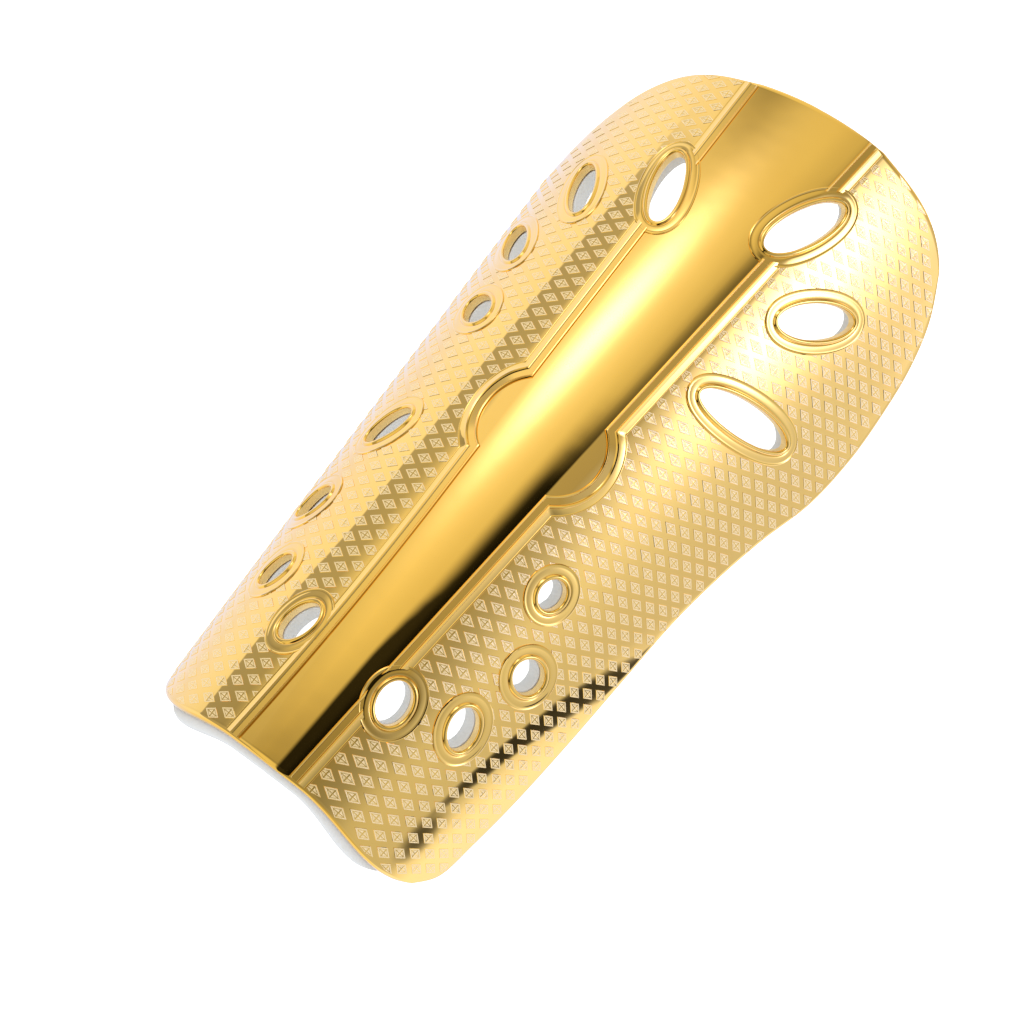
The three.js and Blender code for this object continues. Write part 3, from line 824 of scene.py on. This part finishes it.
def foam():
    """Closed-cell foam with a knitted face: nearly white, quite matt, speckled by its own cells."""
    material, tree, place = new_tree("white_eva_foam")
    cells = add_node(tree, "ShaderNodeTexVoronoi", {
        "Vector": place, "Scale": 1 / (CELL_LENGTH * MM)}, "Distance")
    _, tint = clouded(tree, place, FIBRE_LENGTH, (FOAM_SHADE, FOAM), FIBRE_DETAIL)
    bump = add_node(tree, "ShaderNodeBump", {
        "Height": cells, "Strength": CELL_STRENGTH, "Distance": CELL_DEPTH * MM}, "Normal")
    shader = add_node(tree, "ShaderNodeBsdfPrincipled", {
        "Base Color": tint, "Roughness": FOAM_ROUGHNESS, "Normal": bump}, "BSDF")
    add_node(tree, "ShaderNodeOutputMaterial", {"Surface": shader})
    return material


white_foam = foam()
print("foam in linear light:", np.round(linear(FOAM)[:3], 3))

# %% The lining
LINING_GAP = 0.35
LINING_THICKNESS = 3.5
LINING_SIDE_INSET = 5.0
# The lining's ends as places in the table of rows: it peeps out past the ankle, and stops short of the knee.
LINING_ANKLE_PLACE = -0.24
LINING_KNEE_PLACE = LAST_ROW - 0.06
LINING_FRONT_ROLL = 0.5
LINING_BACK_ROLL = 2.4
LINING_ROWS = 190
LINING_END = 0.012
LINING_COLUMNS = 48
LINING_EDGE = 0.025 * np.array([0.6, 0.25, 0.0])
# Behind these vents, the great ones at the knee, the foam is cut wider by this much.
WIDE_CUTS = (0, 1, 2, 7)
WIDE_CUT = 2.3
# Keeps a point at a vent's very middle from dividing by nothing.
LEAST_REACH = 1e-6


def pushed_to_vents(side, out, y):
    """The grid with its points inside a vent pushed out from the vent's middle to its edge, and which
    points those are."""
    inside = np.zeros(out.shape, bool)
    for number, hole in enumerate(HOLES):
        hole_side, hole_out, hole_y, long, short, _ = hole
        grow = WIDE_CUT if number in WIDE_CUTS else 0.0
        p, q = along_axes(hole, out, y)
        reach = np.hypot(p / (long + grow), q / (short + grow))
        here = (side == hole_side) & (reach < 1)
        stretch = np.where(here, 1 / np.maximum(reach, LEAST_REACH), 1)
        out = hole_out + (out - hole_out) * stretch
        y = hole_y + (y - hole_y) * stretch
        inside |= here
    return out, y, inside


lining_length = LINING_KNEE_PLACE - LINING_ANKLE_PLACE
lining_rows = rows_at(LINING_ANKLE_PLACE + lining_length * fine_ends(LINING_ROWS, LINING_END))
lining_shares = fine_edge(LINING_COLUMNS, LINING_EDGE)
side, out, y = sheet_places(lining_rows, lining_shares, RAIL_OUTS, BAND_SHARES, LINING_SIDE_INSET)
from_edge = edge_distance(front(side, out, y))
out, y, in_vent = pushed_to_vents(side, out, y)
depth = SHELL_THICKNESS + LINING_GAP
top = raised(side, out, y, -depth - roll_drop(from_edge, LINING_FRONT_ROLL))
bottom = raised(side, out, y, -depth - LINING_THICKNESS + roll_drop(from_edge, LINING_BACK_ROLL))
points, faces = sheet_mesh(top, bottom, kept_cells(in_vent))
lining = make_piece("lining", points, faces.tolist(), [white_foam])
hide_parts("foam_lining")

# %% [markdown]
# ## The floor
#
# The guard lies front up on a plain white floor. In a studio that is a lit sheet of white paper, so this one
# glows a little, and stays white behind the vents. A floor lit by lamps alone would turn grey there. It is
# hidden from reflections and from the light that matt things get, because the studio below gives both, and
# its glow would wash out the inside of the lining.

# %% Floor
FLOOR_HALF = 4.0
FLOOR_GLOW = 0.95
FLOOR_WHITE = "#F4F4F4"
FLOOR_SHADE = "#EEEEEE"
FLOOR_ROUGHNESS = 0.9
FLOOR_CLOUD = 333.0


def pale_floor():
    """A white paper floor, lit from within, with a hardly visible cloudiness."""
    material, tree, place = new_tree("white_studio_floor")
    _, tint = clouded(tree, place, FLOOR_CLOUD, (FLOOR_WHITE, FLOOR_SHADE))
    shader = add_node(tree, "ShaderNodeBsdfPrincipled", {
        "Base Color": tint, "Roughness": FLOOR_ROUGHNESS,
        "Emission Color": linear("#FFFFFF"), "Emission Strength": FLOOR_GLOW}, "BSDF")
    add_node(tree, "ShaderNodeOutputMaterial", {"Surface": shader})
    return material


floor_mesh = bpy.data.meshes.new("floor")
corners = FLOOR_HALF * np.array([[-1, -1, 0], [1, -1, 0], [1, 1, 0], [-1, 1, 0]])
floor_mesh.from_pydata(corners, [], [(0, 1, 2, 3)])
floor_mesh.materials.append(pale_floor())
floor = bpy.data.objects.new("floor", floor_mesh)
bpy.context.scene.collection.objects.link(floor)
floor.visible_glossy = False
floor.visible_diffuse = False
print("floor is", 2 * FLOOR_HALF, "m wide")

# %% [markdown]
# ## The studio's light
#
# A mirror shows what stands round it. One could build walls, a table and lamps out of meshes, but it is
# simpler to paint a whole studio on the world, which has a colour for every direction. A direction has two
# angles: one across the guard, from straight up towards the right, and one along it, towards the knee. The
# walls and the table are bands of the first angle. The lamps and the dark gaps are soft ovals of both, and
# three dark zones have firmer edges. Only mirror reflections see all this. Matt things, such as the foam,
# get a plain soft light. Colours are shown as they are, without a film-like curve, so gold keeps its yellow.

# %% What stands in the studio
# Columns: angle across in degrees, light, and how cool it is.
WALLS = [
    (-150, 0.85, 0.3), (-130, 0.98, 0.45), (-116, 0.98, 0.6), (-104, 1.05, 0.75), (-92, 1.08, 0.75),
    (-81, 1.06, 0.75), (-68, 1.12, 0.6), (-57, 0.8, 0.1), (-30, 0.92, 0.0), (0, 0.82, 0.0), (20, 0.78, 0.0),
    (34, 0.37, 0.1), (48, 0.34, 0.8), (54, 0.36, 1.0), (60, 0.42, 1.0), (66, 0.52, 1.0), (72, 0.62, 1.0),
    (80, 0.66, 1.0), (96, 0.64, 1.0), (105, 0.66, 1.0), (110, 1.0, 1.0), (115, 1.2, 1.0), (150, 1.0, 0.6),
]
WALLS_REACH = 150.0
# The ramp's colours stay below 1, so the walls are painted in shares of this much light.
WALLS_MOST = 4.0
# How much more red, green and blue a fully cool wall has.
COOL = np.array([0.0, 0.13, 0.9])
# The walls lose their coolness far along the guard, over this span of the angle.
COOL_ENDS = (34.0, 44.0)
LAMP_COLOUR = (1.0, 1.17, 2.9)
# Columns: angle across, angle along, half width across, half width along, lean, squareness, strength.
LAMPS = {
    "key": (-30.0, 19.4, 9.5, 5.6, 0.75, 1.0, 1.9),
    "key_glow": (-31.0, 18.4, 24.0, 9.0, 0.5, 1.0, 0.4),
    "white": (66.0, 24.5, 10.8, 5.4, 0.0, 1.0, 3.8),
    "white_glow": (68.0, 15.0, 22.0, 10.0, 0.0, 1.0, 0.33),
}
# The gaps have the same columns. Their strength is the share of the light that they take.
GAPS = {
    "table_edge": (106.3, 3.5, 3.4, 4.6, 1.1, 5.0, 0.94),
    "table_corner": (104.5, -2.3, 5.0, 1.0, 0.0, 2.0, 0.85),
    "knee_wall": (-44.0, 33.5, 24.0, 4.2, 0.0, 1.0, 0.6),
    "ankle_wall": (-20.0, -7.0, 50.0, 5.0, 0.0, 1.0, 0.6),
}
# A dark zone starts at an angle across, with a softness. Both change as the angle along crosses a span. It
# ends over a span across, and its darkness changes over another span along.
# Columns: span, starts and softnesses; span of the end; span and values of the darkness.
ZONES = {
    "room": ((1.0, 6.5), (2.0, 11.5), (4.0, 10.0), (28.0, 32.0), (11.0, 18.0), (0.96, 0.15)),
    "foot": ((12.0, 16.0), (22.0, 22.0), (8.0, 8.0), (28.0, 32.0), (24.0, 31.0), (0.68, 0.0)),
    "corner": ((2.0, 7.0), (-86.0, -81.2), (0.5, 0.5), (-70.0, -58.0), (23.0, 29.0), (0.58, 0.0)),
}
# The soft light on matt things, from below and from above. It changes over a span of a direction's height.
SOFT_LIGHT = (0.85, 1.0)
SOFT_SPAN = (-0.4, -0.12)
print(len(LAMPS), "lamps,", len(GAPS), "gaps and", len(ZONES), "dark zones")

# %% A direction's two angles
# Settings that many of the world's nodes share.
MATH = {"kind": "ShaderNodeMath", "take": "Value"}
VECTOR = {"kind": "ShaderNodeVectorMath", "take": "Vector"}
MEASURE = {"kind": "ShaderNodeVectorMath", "take": "Value"}
SMOOTH = {"kind": "ShaderNodeMapRange", "take": "Result", "interpolation_type": "SMOOTHSTEP"}

scene = bpy.context.scene
scene.view_settings.view_transform = "Standard"
world = bpy.data.worlds.new("studio")
scene.world = world
world.use_nodes = True
tree = world.node_tree
tree.nodes.clear()
direction = add_node(tree, "ShaderNodeTexCoord", {}, "Generated")
parts = add_node(tree, "ShaderNodeSeparateXYZ", {0: direction}).outputs
turn = add_node(tree, inputs={0: parts["X"], 1: parts["Z"]}, operation="ARCTAN2", **MATH)
across = add_node(tree, inputs={0: turn}, operation="DEGREES", **MATH)
rise = add_node(tree, inputs={0: parts["Y"]}, operation="ARCSINE", **MATH)
along = add_node(tree, inputs={0: rise}, operation="DEGREES", **MATH)
spot = add_node(tree, "ShaderNodeCombineXYZ", {"X": across, "Y": along, "Z": 1.0}, "Vector")
print("studio starts with", len(tree.nodes), "nodes")

# %% Ovals and dark zones


def soft_oval(row):
    """A soft oval round two angles: one half to a power that grows with the squared distance from its
    middle, in half widths. A lean slides its middle across as one goes along. The spot ends in a 1, so each
    of the two distances is its dot product with three numbers."""
    middle_across, middle_along, wide, long, lean, square, strength = row
    aside = np.array([1, -lean, lean * middle_along - middle_across]) / wide
    ahead = np.array([0, 1, -middle_along]) / long
    u = add_node(tree, inputs={0: spot, 1: aside}, operation="DOT_PRODUCT", **MEASURE)
    v = add_node(tree, inputs={0: spot, 1: ahead}, operation="DOT_PRODUCT", **MEASURE)
    off = add_node(tree, "ShaderNodeCombineXYZ", {"X": u, "Y": v}, "Vector")
    distance = add_node(tree, inputs={0: off}, operation="LENGTH", **MEASURE)
    power = add_node(tree, inputs={0: distance, 1: 2 * square}, operation="POWER", **MATH)
    share = add_node(tree, inputs={0: 0.5, 1: power}, operation="POWER", **MATH)
    return add_node(tree, inputs={0: share, 1: strength}, operation="MULTIPLY", **MATH)


def crossing(value, span, ends=(0.0, 1.0)):
    """The inputs of a node that goes from one end to the other as a value crosses a span."""
    return {
        "Value": value, "From Min": span[0], "From Max": span[1], "To Min": ends[0], "To Max": ends[1]}


def dark_zone(start_span, starts, softs, end_span, dark_span, darks):
    """The share of the light that a dark zone takes: how far one is past its start, times how far one is
    from its end, times its darkness."""
    start = add_node(tree, inputs=crossing(along, start_span, starts), **SMOOTH)
    soft = add_node(tree, inputs=crossing(along, start_span, softs), **SMOOTH)
    before = add_node(tree, inputs={0: soft, 1: -1.0}, operation="MULTIPLY", **MATH)
    past_start = add_node(tree, inputs={0: across, 1: start}, operation="SUBTRACT", **MATH)
    begun = add_node(tree, inputs=crossing(past_start, (before, soft)), **SMOOTH)
    lasting = add_node(tree, inputs=crossing(across, end_span, (1.0, 0.0)), **SMOOTH)
    dark = add_node(tree, inputs=crossing(along, dark_span, darks), **SMOOTH)
    within = add_node(tree, inputs={0: begun, 1: lasting}, operation="MULTIPLY", **MATH)
    return add_node(tree, inputs={0: within, 1: dark}, operation="MULTIPLY", **MATH)


lamps = [soft_oval(lamp) for lamp in LAMPS.values()]
shades = [soft_oval(gap) for gap in GAPS.values()] + [dark_zone(*zone) for zone in ZONES.values()]
print("studio of", len(lamps), "lamps and", len(shades), "shades")

# %% The studio's light
turned = add_node(tree, "ShaderNodeMapRange", {
    "Value": across, "From Min": -WALLS_REACH, "From Max": WALLS_REACH}, "Result")
walls = add_node(tree, "ShaderNodeValToRGB", {"Fac": turned})
ramp = walls.color_ramp.elements
while len(ramp) < len(WALLS):
    ramp.new(0.5)
for stop, (angle, light, cool) in zip(ramp, WALLS):
    stop.position = (angle + WALLS_REACH) / (2 * WALLS_REACH)
    stop.color = (*(light / WALLS_MOST * (1 + cool * COOL)), 1.0)
cooled = walls.outputs["Color"]
uncooled = add_node(tree, "ShaderNodeSeparateColor", {"Color": cooled}, "Red")
off_middle = add_node(tree, inputs={0: along}, operation="ABSOLUTE", **MATH)
far_along = add_node(tree, inputs=crossing(off_middle, COOL_ENDS), **SMOOTH)
tinted = add_node(tree, "ShaderNodeMix", {
    "Factor": far_along, MIX_FIRST: cooled, MIX_SECOND: uncooled}, MIX_RESULT, data_type="RGBA")
radiance = add_node(tree, inputs={0: tinted, "Scale": WALLS_MOST}, operation="SCALE", **VECTOR)
for lamp in lamps:
    glow = add_node(tree, inputs={0: LAMP_COLOUR, "Scale": lamp}, operation="SCALE", **VECTOR)
    radiance = add_node(tree, inputs={0: radiance, 1: glow}, operation="ADD", **VECTOR)
for shade in shades:
    remaining = add_node(tree, inputs={0: 1.0, 1: shade}, operation="SUBTRACT", **MATH)
    radiance = add_node(tree, inputs={0: radiance, "Scale": remaining}, operation="SCALE", **VECTOR)
mirrored = add_node(tree, "ShaderNodeLightPath", {}, "Is Glossy Ray")
soft_light = add_node(tree, inputs=crossing(parts["Z"], SOFT_SPAN, SOFT_LIGHT), **SMOOTH)
shown = add_node(tree, "ShaderNodeMix", {
    "Factor": mirrored, MIX_FIRST: soft_light, MIX_SECOND: radiance}, MIX_RESULT, data_type="RGBA")
background = add_node(tree, "ShaderNodeBackground", {"Color": shown}, "Background")
add_node(tree, "ShaderNodeOutputWorld", {"Surface": background})
print("studio of", len(tree.nodes), "nodes")

# %% [markdown]
# ## The camera
#
# The camera looks down on the guard from above its ankle end, a little to the right, and is turned so that
# the guard lies aslant in the frame. It could be aimed at a target, but three turns say it as plainly: the
# tilt up from straight down, a hardly visible lean, and the turn about the vertical. It stands about as near
# as one holds a thing to look at it, with a lens that is a little long.

# %% The camera
CAMERA_PLACE = (66.65, -99.16, 341.46)
CAMERA_TURNS = (18.18, 0.09, 38.59)
LENS = 56.71
SENSOR = 36.0
NEAREST_SEEN = 10.0

camera_data = bpy.data.cameras.new("camera")
camera_data.lens = LENS
camera_data.sensor_width = SENSOR
camera_data.clip_start = NEAREST_SEEN * MM
camera = bpy.data.objects.new("camera", camera_data)
camera.location = np.array(CAMERA_PLACE) * MM
camera.rotation_euler = np.radians(CAMERA_TURNS)
scene.collection.objects.link(camera)
scene.camera = camera
print("camera is", round(float(np.linalg.norm(CAMERA_PLACE))), "mm from the origin")
